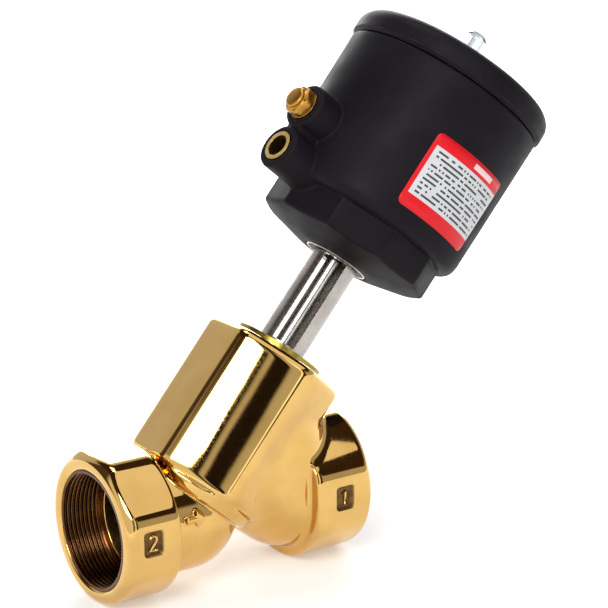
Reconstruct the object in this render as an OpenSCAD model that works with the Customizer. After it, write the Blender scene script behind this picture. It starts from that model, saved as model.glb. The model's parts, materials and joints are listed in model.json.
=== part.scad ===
// Angle-seat valve, two ports, with a single-acting pneumatic piston actuator, normally closed.
// The origin is the centre of the port 2 face. +X runs along the pipe towards port 1 and +Z is up.
// "Height" in a bonnet dimension is measured along the leaning bonnet axis from the pipe axis.

/* [Pipe ends] */
// Distance between the two port faces
face_to_face = 143; // [130:1:170]
// Size across the flats of the octagonal port ends
port_flats = 75.4; // [72:0.2:80]
// Length of the port 2 octagon
port_2_length = 29.4; // [28:0.2:31]
// Length of the port 1 octagon
port_1_length = 34.2; // [30:0.2:36]
// Radius of the port thread's crests, G 2
thread_radius = 28.3; // [27.5:0.1:29]
// Depth of the port threads
thread_depth = 22; // [16:1:24]
// Radius of the flow passage
passage_radius = 24; // [20:0.5:24.5]
// Outer radius of the plain pipe between the ends
pipe_radius = 30; // [29.5:0.5:31]

/* [Bonnet] */
// Lean of the bonnet axis from the vertical, towards port 1
bonnet_lean = 40; // [36:1:45]
// Distance from the port 2 face to where the bonnet axis crosses the pipe axis
seat_distance = 49.5; // [47:0.5:52]
// Half the width of the neck across its rounded corners
neck_corner_radius = 36.5; // [36:0.1:38]
// Height of the neck's top face
neck_top = 92.5; // [91.5:0.5:93.5]
// Radius of the seat opening
seat_radius = 22.5; // [18:0.5:23]
// Stroke of the piston and the disc
stroke = 16; // [8:1:17]

/* [Yoke and stem] */
// Outer radius of the yoke tube
yoke_radius = 12.4; // [12:0.1:13]
// Wall of the yoke tube
yoke_wall = 3.9; // [3.6:0.1:4]
// Width of the yoke's front window
window_width = 12.4; // [11:0.1:13]
// Radius of the stem
stem_radius = 4.3; // [4:0.1:4.5]

/* [Actuator] */
// Height of the housing's hub, where it meets the yoke
hub_bottom = 147.5; // [146.5:0.5:148]
// Outer radius of the housing's cylinder at the lid
housing_radius = 54.2; // [54:0.1:56]
// Corner radius of the ten-sided base
base_radius = 47; // [46:0.5:49]
// Radius of the piston bore
bore_radius = 48; // [47.5:0.1:48.5]
// Height of the parting line between housing and lid
lid_seam = 251; // [249:0.5:253]
// Height of the lid's top face
lid_top = 266; // [265:0.5:268]
// Spacing of the two pilot ports
port_spacing = 24; // [23:0.5:25]

/* [Hidden] */
$fn = 96;

// Small distances
cut = 1;
fit_gap = 0.05;
weld = 0.01;
seal_gap = 0.1;

// Pipe ends
port_corner = port_flats / 2 / cos(22.5);
port_1_start = face_to_face - port_1_length;
face_radius = 35;
face_cone = 6;
underside_radius = 41;
underside_rise = 4;
inner_rim = 1.4;

// Port numbers: the sunk pads and the figures in them
pad_width = 10;
pad_height = 11;
pad_depth = 1;
figure_height = 8;
figure_bar = 1.6;
figure_depth = 0.3;
pad_2_x = 14.4;
pad_2_z = 3;
pad_1_x = face_to_face - 17.5;
pad_1_z = 2;

// Flow arrow
arrow_x = seat_distance - 7;
arrow_z = 7.5;
arrow_depth = 6;
arrow_face = pipe_radius + 1.2;

// Neck and globe
neck_flats = 65.6;
neck_bottom = 14;
neck_bevel = 4;
band_radius = 34.6;
band_bottom = 9;
band_overlap = 0.5;
elbow_radius = pipe_radius + 0.6;
chamber_radius = 28.5;
disc_chamber_radius = 27;
seat_bottom = -4;
seat_top = 4;
seat_land = 3;
chamber_floor = 2;
bridge_bottom = -1.5;

// Branch to port 1
branch_radius = 31.6;
branch_bottom = 10;
branch_top = 62;
branch_flat = 6;
branch_end_radius = branch_radius + 1;

// Stuffing box
box_bottom = 70;
box_top = neck_top - 0.4;
collar_radius = 23.5;
collar_top = 95.5;
packing_radius = 9;
packing_bottom = 74;
packing_spring_height = 4.2;
packing_start = 78.4;
packing_ring = 2.2;
packing_pitch = 2.3;
spigot_radius = 11;
spigot_bottom = 88;
bush_top = 95;
gasket_bottom = 80;
gasket_height = 3;
gasket_depth = 2.2;
gasket_section = 1.05;

// Yoke
yoke_bore = yoke_radius - yoke_wall;
window_bottom = 97.5;
window_top = 147.5;
rear_window_share = 0.68;
window_turn = -128;
shoulder_top = hub_bottom + 0.5;
yoke_top = 163.4;
yoke_neck_radius = 11.5;
ring_bottom = 160.3;
ring_top = 161.8;
ring_depth = 0.9;
ring_radius = 15;
ring_opening = 5;
stem_bush_bottom = 151;
stem_bush_top = 157.4;
stem_seal_top = 161.5;

// Housing
recess_radius = 17.6;
recess_depth = 3;
washer_bottom = hub_bottom + 0.55;
washer_top = hub_bottom + 2.9;
washer_gap = 0.4;
base_bottom = 154.8;
shoulder_bottom = 170;
shoulder_round = 6;
draft = 0.7;
cavity_floor = 160;
cavity_radius = 40;
bore_floor = 173;
housing_seal_height = 155;
housing_seal_section = 1.25;
boss_radius = port_spacing / 2 - 0.15;
boss_face = 68;
boss_root = bore_radius - 4;
web_step = 1.5;
web_half_width = boss_radius * 0.62;
pilot_height = 174.5;
exhaust_height = pilot_height + port_spacing;
airway_radius = 2;
airway_turn = 128;
insert_radius = 7.75;
insert_bore = 5.72;
insert_depth = 11.5;
insert_lip = 0.6;
airway_length = 17.5;
hub_rim = 2.4;
seam_bevel = 1.8;

// Exhaust protector, measured from the boss's face
plug_depth = 8;
plug_flats = 14;
plug_hex_top = 6;
cap_radius = 5.6;
cap_top = 8.4;
vent_radius = 2;
vent_height = 7.1;
vent_slot = 0.9;

// Lid and dome
lid_counterbore = 50;
lid_gap = 0.5;
lid_rim = 8;
rim_radius = housing_radius + 1.2;
skirt_bottom = 241.5;
lid_roof = 5;
lid_bore = 6;
lid_groove_bottom = 244;
lid_groove_top = 247.2;
lid_groove_depth = 2.6;
skirt_wall = 5;
skirt_gap = 0.4;
lid_seal_section = 1.22;
dome_radius = 13.5;
dome_bottom = lid_top + 1.3;
dome_shoulder = lid_top + 8.5;
dome_wall = 1.9;
dome_gasket_radius = dome_radius + 1.1;
dome_gasket_bore = 9;
sight_radius = 5.4;
sight_top = lid_top + 18;
sight_tip = 1.6;

// Rating label
label_bottom = 181;
label_height = 40.5;
label_start = -118;
label_angle = 56;
label_gap = 0.05;
label_thickness = 0.25;

// Piston and disc
piston_bottom = 178;
piston_top = 188;
piston_radius = bore_radius - 0.3;
piston_hub_radius = 12;
piston_groove_bottom = 181;
piston_groove_top = 185;
piston_groove_depth = 3.4;
piston_seat_radius = 24;
piston_seat_depth = 4;
piston_washer_top = 189.6;
piston_nut_top = 195.5;
piston_nut_flats = 13;
piston_washer_radius = 10;
pin_radius = 2.6;
stem_shoulder = 172;
stem_thread_radius = 3.5;
stem_top = 196;
stem_foot_radius = 5;
stem_foot_top = 15;
disc_radius = 26;
disc_seal_radius = 25.8;
disc_bottom = 8.1;
disc_top = 12.5;
disc_hub_radius = 9;
disc_hub_top = 22;
disc_washer_bottom = 1.9;
disc_nut_flats = 15;
disc_washer_radius = seat_radius * 0.8;
disc_boss_radius = stem_foot_radius * 2;

// Springs: radius to the middle of the wire, radius of the wire and number of turns
main_coil_radius = 34;
main_wire = 2.6;
main_turns = 6;
main_height = lid_top - lid_roof - piston_top - 0.8;
packing_coil_radius = 7.2;
packing_wire = 0.5;
packing_turns = 3;

// Moves its children into the leaning bonnet frame: z along the bonnet axis, y across the pipe
module on_bonnet()
    translate([seat_distance, 0, 0])
        rotate([0, bonnet_lean, 0])
            children();

// A tube standing on z = bottom
module tube(outer, inner, bottom, top)
    difference() {
        translate([0, 0, bottom]) cylinder(r = outer, h = top - bottom);
        translate([0, 0, bottom - cut]) cylinder(r = inner, h = top - bottom + 2 * cut);
    }

// A solid disc standing on z = bottom
module disc(radius, bottom, top)
    translate([0, 0, bottom]) cylinder(r = radius, h = top - bottom);

// A ring of round section round the z axis
module o_ring(middle, section, height)
    translate([0, 0, height])
        rotate_extrude() translate([middle, 0]) circle(r = section, $fn = 24);

// A hexagonal prism given across its flats
module hex(flats, bottom, top)
    translate([0, 0, bottom]) cylinder(r = flats / 2 / cos(30), h = top - bottom, $fn = 6);

// Rise of a spring's wire after so many turns: its first and last turns almost touch their neighbours
function coil_rise(height, turns, wire, turn) =
    let (
        closed = 2.1 * wire,
        pitch = (height - 2 * wire - 2 * closed) / (turns - 2)
    )
    closed * min(turn, 1) + pitch * max(0, min(turn, turns - 1) - 1) + closed * max(0, turn - turns + 1);

function coil_point(middle, height, turns, wire, t) =
    [middle * cos(360 * turns * t), middle * sin(360 * turns * t),
     wire + coil_rise(height, turns, wire, turns * t)];

module coil(middle, wire, height, turns, steps, sides) {
    count = turns * steps;
    points = [
        for (i = [0 : count])
            let (centre = coil_point(middle, height, turns, wire, i / count), a = 360 * i / steps)
            for (j = [0 : sides - 1])
                centre + wire * [cos(a) * cos(360 * j / sides), sin(a) * cos(360 * j / sides),
                                 sin(360 * j / sides)]
    ];
    walls = [
        for (i = [0 : count - 1])
            for (j = [0 : sides - 1])
                [i * sides + j, i * sides + (j + 1) % sides,
                 (i + 1) * sides + (j + 1) % sides, (i + 1) * sides + j]
    ];
    start = [for (j = [sides - 1 : -1 : 0]) j];
    end = [for (j = [0 : sides - 1]) count * sides + j];
    polyhedron(points = points, faces = concat([start], walls, [end]), convexity = 10);
}

// ---- Valve body ----

// One octagonal pipe end from x = 0 to x = length, coned round its outer face at x = 0.
// Its underside is rounded by a cylinder whose axis lies above the pipe's.
module port_end(length)
    intersection() {
        translate([0, 0, underside_rise]) rotate([0, 90, 0]) cylinder(r = underside_radius, h = length);
        rotate([0, 90, 0]) rotate([0, 0, 22.5]) cylinder(r = port_corner, h = length, $fn = 8);
        rotate([0, 90, 0]) rotate_extrude() polygon([
            [0, 0], [face_radius, 0], [port_corner + 1, face_cone],
            [port_corner + 1, length - face_cone / 2], [face_radius + inner_rim, length], [0, length]
        ]);
    }

// The neck: a hexagon with turned corners and a bevelled top, one corner to each side of the bonnet
module neck()
    intersection() {
        rotate([0, 0, window_turn + 30])
            translate([0, 0, neck_bottom])
                cylinder(r = neck_flats / 2 / cos(30), h = neck_top - neck_bottom, $fn = 6);
        rotate_extrude() polygon([
            [0, 0], [neck_corner_radius, 0], [neck_corner_radius, neck_top - neck_bevel],
            [neck_corner_radius - neck_bevel, neck_top], [0, neck_top]
        ]);
    }

// The branch that leads from the chamber under the neck to port 1
module branch()
    hull() {
        on_bonnet() translate([0, 0, branch_bottom])
            cylinder(r = branch_radius, h = branch_top - branch_bottom, $fn = 48);
        translate([port_1_start - branch_flat, 0, 0])
            rotate([0, 90, 0]) cylinder(r = branch_end_radius, h = branch_flat, $fn = 48);
    }

// A raised figure one, centred on the origin
module figure_one()
    translate([-figure_bar / 2, -figure_height / 2]) {
        square([figure_bar, figure_height]);
        translate([-figure_bar * 0.7, figure_height * 0.66])
            rotate(-35) square([figure_bar, figure_bar * 1.3]);
        translate([-figure_bar * 0.7, 0]) square([figure_bar * 2.4, figure_bar * 0.7]);
    }

// A raised figure two, centred on the origin
module figure_two()
    translate([0, -figure_height / 2]) {
        bowl = figure_height * 0.31;
        difference() {
            translate([0, figure_height - bowl]) circle(r = bowl, $fn = 32);
            translate([0, figure_height - bowl]) circle(r = bowl - figure_bar, $fn = 32);
            translate([-bowl - cut, figure_height - 2 * bowl - cut]) square([bowl + cut, bowl + cut]);
        }
        polygon([
            [bowl - figure_bar, figure_height - bowl], [bowl, figure_height - bowl],
            [-bowl + figure_bar, figure_bar], [-bowl, figure_bar]
        ]);
        translate([-bowl, 0]) square([2 * bowl, figure_bar]);
    }

// A sunk pad on the flat that faces -Y, with a raised figure standing in it
module port_number(x, z)
    translate([x, -port_flats / 2, z])
        rotate([90, 0, 0])
            difference() {
                translate([-pad_width / 2, -pad_height / 2, -pad_depth])
                    cube([pad_width, pad_height, 2 * pad_depth]);
                translate([0, 0, -pad_depth - cut])
                    linear_extrude(2 * pad_depth + cut - figure_depth)
                        children();
            }

// The cast arrow that shows the flow from port 2 to port 1
module flow_arrow()
    translate([arrow_x, -arrow_face, arrow_z])
        rotate([90, 0, 0])
            translate([0, 0, -arrow_depth])
                linear_extrude(arrow_depth)
                    polygon([
                        [-7.5, -1.7], [1.5, -1.7], [1.5, -5], [8.5, 0],
                        [1.5, 5], [1.5, 1.7], [-7.5, 1.7]
                    ]);

// Everything above (side = 1) or below (side = -1) a plane across the bonnet axis
module bonnet_half(height, side)
    on_bonnet()
        translate([-200, -200, side > 0 ? height : height - 400]) cube(400);

module valve_body() color([0.83, 0.66, 0.33])
    difference() {
        union() {
            port_end(port_2_length);
            translate([face_to_face, 0, 0]) mirror([1, 0, 0]) port_end(port_1_length);
            translate([port_2_length - cut, 0, 0])
                rotate([0, 90, 0]) cylinder(r = pipe_radius, h = seat_distance - port_2_length + cut);
            translate([seat_distance, 0, 0]) sphere(r = elbow_radius);
            translate([port_1_start - 2, 0, 0])
                rotate([0, 90, 0]) cylinder(r = branch_radius, h = 2 + cut);
            on_bonnet() neck();
            on_bonnet() disc(band_radius, band_bottom, neck_bottom + band_overlap);
            branch();
            flow_arrow();
        }
        // Threads, as plain holes at their crest radius
        translate([-cut, 0, 0]) rotate([0, 90, 0]) cylinder(r = thread_radius, h = thread_depth + cut);
        translate([face_to_face - thread_depth, 0, 0])
            rotate([0, 90, 0]) cylinder(r = thread_radius, h = thread_depth + cut);
        // Port 2 passage, under the seat
        intersection() {
            union() {
                translate([thread_depth - cut, 0, 0])
                    rotate([0, 90, 0]) cylinder(r = passage_radius, h = seat_distance - thread_depth + cut);
                translate([seat_distance, 0, 0]) sphere(r = passage_radius + cut);
            }
            bonnet_half(bridge_bottom, -1);
        }
        on_bonnet() disc(seat_radius, seat_bottom, seat_top + cut);
        // Chamber over the seat, and the port 1 passage
        on_bonnet() disc(chamber_radius, neck_bottom, neck_top + cut);
        on_bonnet() disc(disc_chamber_radius, seat_top, neck_bottom + cut);
        on_bonnet() tube(disc_chamber_radius, seat_radius + seat_land, chamber_floor, seat_top + cut);
        intersection() {
            translate([seat_distance, 0, 0])
                rotate([0, 90, 0])
                    cylinder(r = passage_radius, h = face_to_face - seat_distance - thread_depth + cut);
            bonnet_half(seat_top, 1);
        }
        port_number(pad_2_x, pad_2_z) figure_two();
        port_number(pad_1_x, pad_1_z) figure_one();
    }

// ---- Bonnet ----

module stuffing_box() color([0.62, 0.5, 0.2])
    on_bonnet()
        difference() {
            union() {
                disc(chamber_radius - fit_gap, box_bottom, box_top);
                disc(collar_radius, box_top - fit_gap, collar_top);
            }
            disc(stem_radius + 2 * fit_gap, box_bottom - cut, packing_bottom + cut);
            disc(packing_radius, packing_bottom, spigot_bottom + cut);
            disc(spigot_radius, spigot_bottom, collar_top + cut);
            tube(chamber_radius + cut, chamber_radius - gasket_depth, gasket_bottom,
                 gasket_bottom + gasket_height);
        }

module body_gasket() color([0.93, 0.93, 0.9])
    on_bonnet()
        o_ring(chamber_radius - gasket_section - 0.08, gasket_section, gasket_bottom + gasket_height / 2);

module packing_spring() color([0.75, 0.76, 0.78])
    on_bonnet()
        translate([0, 0, packing_bottom + fit_gap])
            coil(packing_coil_radius, packing_wire, packing_spring_height, packing_turns, 24, 8);

module packing_rings() color([0.93, 0.92, 0.88])
    on_bonnet()
        for (i = [0 : 3]) {
            bottom = packing_start + i * packing_pitch;
            tube(packing_radius - fit_gap, stem_radius + fit_gap, bottom, bottom + packing_ring);
        }

module gland_bush() color([0.8, 0.62, 0.3])
    on_bonnet()
        tube(yoke_bore - fit_gap, stem_radius + 2 * fit_gap, spigot_bottom + seal_gap, bush_top);

// A slot through one side of the yoke, facing along x
module window(width)
    translate([0, -window_width / 2, window_bottom])
        cube([yoke_radius + cut, width, window_top - window_bottom]);

module yoke() color([0.74, 0.74, 0.73])
    on_bonnet()
        difference() {
            union() {
                disc(spigot_radius - fit_gap, spigot_bottom + seal_gap, collar_top + cut);
                disc(yoke_radius, collar_top + fit_gap, shoulder_top);
                disc(yoke_neck_radius, hub_bottom, yoke_top);
            }
            disc(yoke_bore, spigot_bottom - cut, yoke_top + cut);
            rotate([0, 0, window_turn]) window(window_width);
            rotate([0, 0, window_turn]) mirror([1, 0, 0]) window(window_width * rear_window_share);
            tube(yoke_radius, yoke_neck_radius - ring_depth, ring_bottom, ring_top);
        }

module thrust_washer() color([0.86, 0.86, 0.87])
    on_bonnet()
        tube(recess_radius - washer_gap, yoke_neck_radius + fit_gap, washer_bottom, washer_top);

module retaining_ring() color([0.55, 0.55, 0.56])
    on_bonnet()
        difference() {
            tube(ring_radius, yoke_neck_radius - ring_depth + fit_gap,
                 ring_bottom + fit_gap, ring_top - fit_gap);
            translate([0, -ring_opening / 2, ring_bottom - cut])
                cube([ring_radius + cut, ring_opening, ring_top - ring_bottom + 2 * cut]);
        }

module stem_bush() color([0.72, 0.5, 0.28])
    on_bonnet()
        tube(yoke_bore - fit_gap, stem_radius + fit_gap, stem_bush_bottom, stem_bush_top);

module stem_seal() color([0.12, 0.12, 0.12])
    on_bonnet()
        tube(yoke_bore - fit_gap, stem_radius + fit_gap, stem_bush_top + seal_gap, stem_seal_top);

// ---- Sliding parts ----

module stem() color([0.78, 0.78, 0.77])
    on_bonnet() {
        disc(stem_foot_radius, 0, stem_foot_top);
        disc(stem_radius, stem_foot_top - cut, stem_shoulder);
        disc(stem_thread_radius, stem_shoulder - cut, stem_top);
    }

module disc_holder() color([0.74, 0.74, 0.73])
    on_bonnet()
        difference() {
            union() {
                disc(disc_radius, disc_bottom, disc_top);
                disc(disc_hub_radius, disc_top - cut, disc_hub_top);
            }
            disc(stem_foot_radius + fit_gap, disc_bottom - cut, stem_foot_top + fit_gap);
            disc(stem_radius + fit_gap, stem_foot_top - cut, disc_hub_top + cut);
        }

module disc_seal() color([0.94, 0.94, 0.92])
    on_bonnet()
        tube(disc_seal_radius, disc_boss_radius, seat_top + seal_gap, disc_bottom - fit_gap);

module disc_washer() color([0.74, 0.74, 0.73])
    on_bonnet()
        difference() {
            union() {
                disc(disc_washer_radius, disc_washer_bottom, seat_top);
                disc(disc_boss_radius - seal_gap, seat_top - cut, disc_bottom - fit_gap);
            }
            disc(stem_foot_radius + fit_gap, 0, disc_bottom + cut);
        }

module disc_nut() color([0.7, 0.7, 0.7])
    on_bonnet()
        difference() {
            hex(disc_nut_flats, seat_bottom, disc_washer_bottom - fit_gap);
            disc(stem_foot_radius + fit_gap, -fit_gap, disc_washer_bottom + cut);
        }

module piston() color([0.28, 0.29, 0.31])
    on_bonnet()
        difference() {
            union() {
                disc(piston_radius, piston_bottom, piston_top);
                disc(piston_hub_radius, stem_shoulder + fit_gap, piston_bottom + cut);
            }
            disc(stem_thread_radius + fit_gap, stem_shoulder - cut, piston_top + cut);
            tube(piston_radius + cut, piston_radius - piston_groove_depth,
                 piston_groove_bottom, piston_groove_top);
            tube(piston_seat_radius, piston_hub_radius + 2, piston_top - piston_seat_depth, piston_top + cut);
        }

module piston_seal() color([0.1, 0.1, 0.1])
    on_bonnet()
        tube(bore_radius - fit_gap, piston_radius - piston_groove_depth + seal_gap,
             piston_groove_bottom + seal_gap, piston_groove_top - seal_gap);

module piston_washer() color([0.78, 0.78, 0.79])
    on_bonnet()
        tube(piston_washer_radius, stem_thread_radius + fit_gap, piston_top + fit_gap, piston_washer_top);

module piston_nut() color([0.72, 0.72, 0.73])
    on_bonnet()
        difference() {
            hex(piston_nut_flats, piston_washer_top + fit_gap, piston_nut_top);
            disc(stem_thread_radius + fit_gap, piston_top, piston_nut_top + cut);
        }

module indicator_pin() color([0.9, 0.75, 0.1])
    on_bonnet()
        disc(pin_radius, stem_top + fit_gap, lid_top + cut);

// ---- Actuator head ----

// Puts its children on the port boss: z points out of the boss, the origin is on the bonnet axis
module on_boss(height)
    on_bonnet() translate([0, 0, height]) rotate([0, -90, 0]) children();

module boss_outline() {
    for (height = [pilot_height, exhaust_height])
        on_boss(height) disc(boss_radius, boss_root, boss_face);
    on_boss(pilot_height)
        translate([0, -web_half_width, boss_root])
            cube([port_spacing, 2 * web_half_width, boss_face - boss_root - web_step]);
}

// The ten-sided base and the cone under it
module base_outline() {
    translate([0, 0, base_bottom])
        cylinder(r = base_radius, h = shoulder_bottom - base_bottom + cut, $fn = 10);
    intersection() {
        translate([0, 0, hub_bottom])
            cylinder(r1 = recess_radius + hub_rim, r2 = base_radius, h = base_bottom - hub_bottom + weld);
        translate([0, 0, hub_bottom - cut]) cylinder(r = base_radius, h = base_bottom, $fn = 10);
    }
}

// Outer radius of the housing's slightly drafted cylinder at a height
function wall_radius(height) =
    housing_radius - draft * (lid_seam - height) / (lid_seam - shoulder_bottom - shoulder_round);

// Outline of the housing's cylinder: a rounded lower edge, a slight draft and a bevelled top edge
module housing_profile() {
    low_radius = housing_radius - draft;
    translate([low_radius - shoulder_round, shoulder_bottom + shoulder_round]) circle(r = shoulder_round);
    polygon([
        [0, shoulder_bottom], [low_radius - shoulder_round, shoulder_bottom],
        [low_radius - shoulder_round, shoulder_bottom + shoulder_round],
        [low_radius, shoulder_bottom + shoulder_round],
        [wall_radius(lid_seam - seam_bevel), lid_seam - seam_bevel],
        [housing_radius - seam_bevel / 2, lid_seam], [0, lid_seam]
    ]);
}

module actuator_housing() color([0.12, 0.12, 0.13])
    difference() {
        union() {
            on_bonnet() base_outline();
            on_bonnet() rotate_extrude() housing_profile();
            boss_outline();
        }
        on_bonnet() {
            disc(recess_radius, hub_bottom - cut, hub_bottom + recess_depth);
            disc(yoke_neck_radius + fit_gap, hub_bottom - cut, cavity_floor + cut);
            o_ring(yoke_neck_radius + housing_seal_section + fit_gap, housing_seal_section + seal_gap,
                   housing_seal_height);
            disc(cavity_radius, cavity_floor, bore_floor + cut);
            disc(bore_radius, bore_floor, lid_seam + cut);
            disc(lid_counterbore, skirt_bottom - skirt_gap, lid_seam + cut);
        }
        for (height = [pilot_height, exhaust_height])
            on_boss(height)
                disc(insert_radius + fit_gap, boss_face - insert_depth - fit_gap, boss_face + cut);
        // Air ways: straight in below the piston, and slanted up to the spring side
        on_boss(pilot_height) disc(airway_radius, boss_root - 2, boss_face - insert_depth + cut);
        on_boss(exhaust_height)
            translate([0, 0, boss_face - insert_depth])
                rotate([0, airway_turn, 0])
                    disc(airway_radius, -airway_radius, airway_length);
    }

module housing_seal() color([0.1, 0.1, 0.1])
    on_bonnet()
        o_ring(yoke_neck_radius + housing_seal_section + fit_gap, housing_seal_section, housing_seal_height);

module port_insert(height)
    on_boss(height)
        tube(insert_radius, insert_bore, boss_face - insert_depth, boss_face + insert_lip);

module pilot_insert() color([0.85, 0.68, 0.35])
    port_insert(pilot_height);

module exhaust_insert() color([0.85, 0.68, 0.35])
    port_insert(exhaust_height);

module exhaust_protector() color([0.83, 0.6, 0.22])
    on_boss(exhaust_height)
        translate([0, 0, boss_face])
            difference() {
                union() {
                    disc(insert_bore - fit_gap, -plug_depth, insert_lip + cut);
                    hex(plug_flats, insert_lip + fit_gap, plug_hex_top);
                    disc(cap_radius, plug_hex_top - cut, cap_top);
                }
                disc(vent_radius, -plug_depth - cut, vent_height - fit_gap);
                for (turn = [0, 90])
                    rotate([0, 0, turn])
                        translate([-plug_flats, 0, vent_height])
                            rotate([0, 90, 0]) cylinder(r = vent_slot, h = 2 * plug_flats);
            }

module main_spring() color([0.6, 0.62, 0.64])
    on_bonnet()
        translate([0, 0, piston_top + seal_gap])
            coil(main_coil_radius, main_wire, main_height, main_turns, 28, 10);

// Outline of the lid: a rounded rim round a flat top
module lid_profile() {
    bottom = lid_seam + lid_gap;
    intersection() {
        translate([rim_radius - lid_rim, lid_top - lid_rim]) circle(r = lid_rim);
        translate([0, bottom]) square([rim_radius + cut, lid_top - bottom + cut]);
    }
    polygon([
        [0, bottom], [rim_radius - seam_bevel, bottom], [rim_radius, bottom + seam_bevel],
        [rim_radius, lid_top - lid_rim], [rim_radius - lid_rim, lid_top], [0, lid_top]
    ]);
}

module lid() color([0.13, 0.13, 0.14])
    on_bonnet()
        difference() {
            union() {
                rotate_extrude() lid_profile();
                disc(lid_counterbore - fit_gap, skirt_bottom, lid_seam + cut);
            }
            disc(lid_counterbore - skirt_wall, skirt_bottom - cut, lid_top - lid_roof);
            disc(lid_bore, lid_top - lid_roof - cut, lid_top + cut);
            tube(lid_counterbore + cut, lid_counterbore - lid_groove_depth,
                lid_groove_bottom, lid_groove_top);
        }

module lid_seal() color([0.1, 0.1, 0.1])
    on_bonnet()
        o_ring(lid_counterbore - lid_seal_section - seal_gap, lid_seal_section,
               (lid_groove_bottom + lid_groove_top) / 2);

module indicator_dome() color([0.85, 0.9, 0.95, 0.4])
    on_bonnet()
        difference() {
            union() {
                disc(dome_radius, dome_bottom, dome_shoulder);
                disc(sight_radius, dome_shoulder - cut, sight_top);
                translate([0, 0, sight_top])
                    cylinder(r1 = sight_radius, r2 = sight_radius - sight_tip, h = sight_tip);
            }
            disc(dome_radius - dome_wall, lid_top, dome_shoulder - dome_wall);
            disc(sight_radius - dome_wall, lid_top, sight_top);
        }

module dome_gasket() color([0.8, 0.8, 0.78])
    on_bonnet()
        tube(dome_gasket_radius, dome_gasket_bore, lid_top + fit_gap, dome_bottom - fit_gap);

module rating_label() color([0.85, 0.1, 0.12])
    on_bonnet()
        rotate([0, 0, label_start])
            rotate_extrude(angle = label_angle) {
                top = label_bottom + label_height;
                low = wall_radius(label_bottom) + label_gap;
                high = wall_radius(top) + label_gap;
                polygon([
                    [low, label_bottom], [low + label_thickness, label_bottom],
                    [high + label_thickness, top], [high, top]
                ]);
            }

valve_body();
stuffing_box();
body_gasket();
packing_spring();
packing_rings();
gland_bush();
yoke();
thrust_washer();
retaining_ring();
stem_bush();
stem_seal();
stem();
disc_holder();
disc_seal();
disc_washer();
disc_nut();
piston();
piston_seal();
piston_washer();
piston_nut();
indicator_pin();
actuator_housing();
housing_seal();
pilot_insert();
exhaust_insert();
exhaust_protector();
main_spring();
lid();
lid_seal();
indicator_dome();
dome_gasket();
rating_label();
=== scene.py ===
"""Looks of a two-port pneumatic angle-seat valve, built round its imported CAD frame.

Lengths are in millimetres until a mesh is made, and MM turns them into Blender's metres.
"Height" runs along the leaning bonnet axis from the pipe axis, and "azimuth" turns about it.
"""

import json
from math import cos, pi, radians, sin, tau

import bpy
import numpy as np
import openvdb
from mathutils import Matrix, Vector


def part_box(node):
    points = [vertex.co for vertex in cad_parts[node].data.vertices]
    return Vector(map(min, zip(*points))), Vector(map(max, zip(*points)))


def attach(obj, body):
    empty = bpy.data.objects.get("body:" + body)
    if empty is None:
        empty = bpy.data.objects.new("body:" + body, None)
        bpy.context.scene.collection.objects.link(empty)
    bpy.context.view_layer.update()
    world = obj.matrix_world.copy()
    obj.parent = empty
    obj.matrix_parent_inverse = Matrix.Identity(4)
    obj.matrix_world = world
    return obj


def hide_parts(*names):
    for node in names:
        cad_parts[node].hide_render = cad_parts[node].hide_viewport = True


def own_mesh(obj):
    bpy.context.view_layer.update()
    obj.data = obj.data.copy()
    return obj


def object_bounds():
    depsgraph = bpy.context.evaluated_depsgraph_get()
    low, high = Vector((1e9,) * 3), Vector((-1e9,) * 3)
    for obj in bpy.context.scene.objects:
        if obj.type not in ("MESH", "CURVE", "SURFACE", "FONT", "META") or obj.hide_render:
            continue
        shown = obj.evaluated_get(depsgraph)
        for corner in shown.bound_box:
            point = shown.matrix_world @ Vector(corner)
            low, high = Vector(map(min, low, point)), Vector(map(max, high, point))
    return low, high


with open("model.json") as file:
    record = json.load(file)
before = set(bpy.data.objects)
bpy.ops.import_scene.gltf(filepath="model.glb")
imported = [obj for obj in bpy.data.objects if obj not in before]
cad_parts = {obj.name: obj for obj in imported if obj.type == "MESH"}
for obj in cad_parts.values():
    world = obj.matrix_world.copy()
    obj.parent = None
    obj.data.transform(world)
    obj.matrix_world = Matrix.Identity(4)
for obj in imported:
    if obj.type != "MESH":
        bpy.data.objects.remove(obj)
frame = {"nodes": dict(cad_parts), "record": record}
cad_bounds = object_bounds()

MM = 0.001

# ---- The frame's own sizes ----

RECORD = frame["record"]
JOINTS = {joint["name"]: joint for joint in RECORD["behaviour"]["joints"]}
MOUNTS = {mount["name"]: mount for mount in RECORD["mounts"]}

BONNET_AXIS = Vector(JOINTS["stem_slide"]["axis"]).normalized()
SWIVEL_POINT = Vector(JOINTS["head_swivel"]["pos_m"]) / MM
BONNET_FOOT = SWIVEL_POINT - BONNET_AXIS * (SWIVEL_POINT.z / BONNET_AXIS.z)
BONNET_SIDE = Vector((0, 1, 0))
BONNET_FRONT = BONNET_SIDE.cross(BONNET_AXIS)
BONNET = Matrix((
    (*BONNET_FRONT, 0),
    (*BONNET_SIDE, 0),
    (*BONNET_AXIS, 0),
    (0, 0, 0, 1),
)).transposed()
BONNET.translation = BONNET_FOOT
TO_BONNET = BONNET.inverted()


def height_span(node):
    """Lowest and highest height of a CAD node along the bonnet axis."""
    points = [TO_BONNET @ (vertex.co / MM) for vertex in frame["nodes"][node].data.vertices]
    heights = [point.z for point in points]
    return min(heights), max(heights)


def radius_of(node):
    """Largest distance of a CAD node from the bonnet axis."""
    points = [TO_BONNET @ (vertex.co / MM) for vertex in frame["nodes"][node].data.vertices]
    return max(point.xy.length for point in points)


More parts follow.
